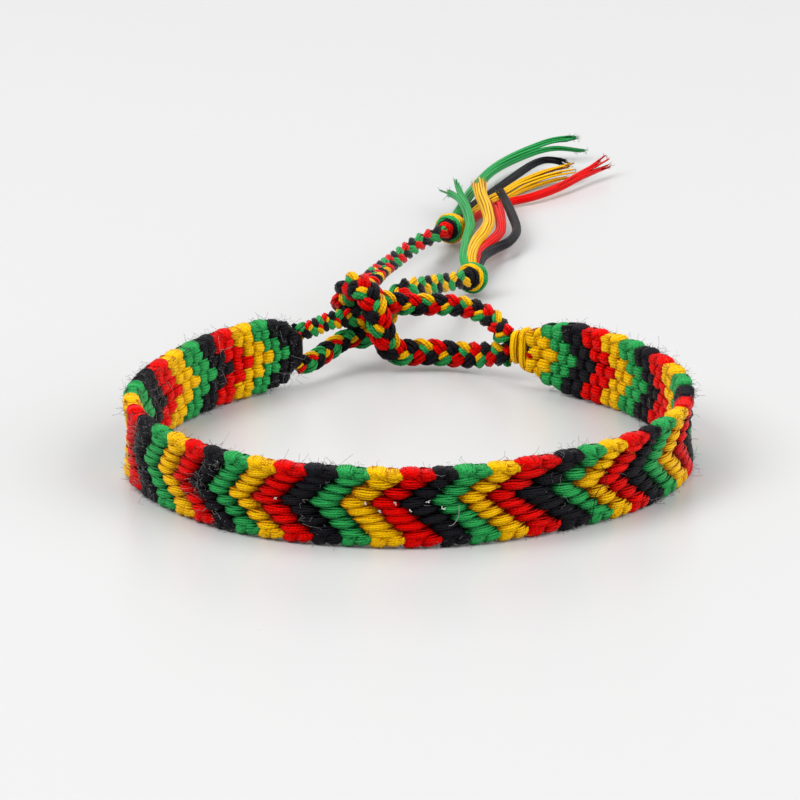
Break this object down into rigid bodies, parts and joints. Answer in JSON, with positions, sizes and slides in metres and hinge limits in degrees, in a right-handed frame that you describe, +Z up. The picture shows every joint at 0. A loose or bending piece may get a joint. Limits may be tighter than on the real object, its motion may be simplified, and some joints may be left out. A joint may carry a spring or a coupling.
{
  "type": "woven friendship bracelet",
  "caption": "Woven band bracelet with a chevron pattern, closed at the back by a plaited loop and two plaited ties knotted through it, each tie ending in a knot and a thread tassel.",
  "frame": {"origin": "floor level under the middle of the band and its start loop, as the bracelet stands on the lower edge of its band", "axes": "+Z up, across the band's width; -Y towards the front of the band, +Y towards the tie knot at the back; +X to the right as the front is seen"},
  "size_m": [0.0655, 0.1598, 0.0116],
  "materials": {
    "band_yarn": "cotton thread knotted in V stripes of black, green, yellow and red, soft and slightly fuzzy",
    "plait_yarn": "the same cotton threads plaited together, in black, green, yellow and red",
    "tassel_thread": "loose twisted cotton threads in green, yellow, red and black, frayed at their ends"
  },
  "bodies": {
    "root": {"woven_band": "band_yarn", "start_loop": "plait_yarn", "tie_near": "plait_yarn", "tie_far": "plait_yarn", "tassel_near": "tassel_thread", "tassel_far": "tassel_thread"}
  },
  "joints": []
}
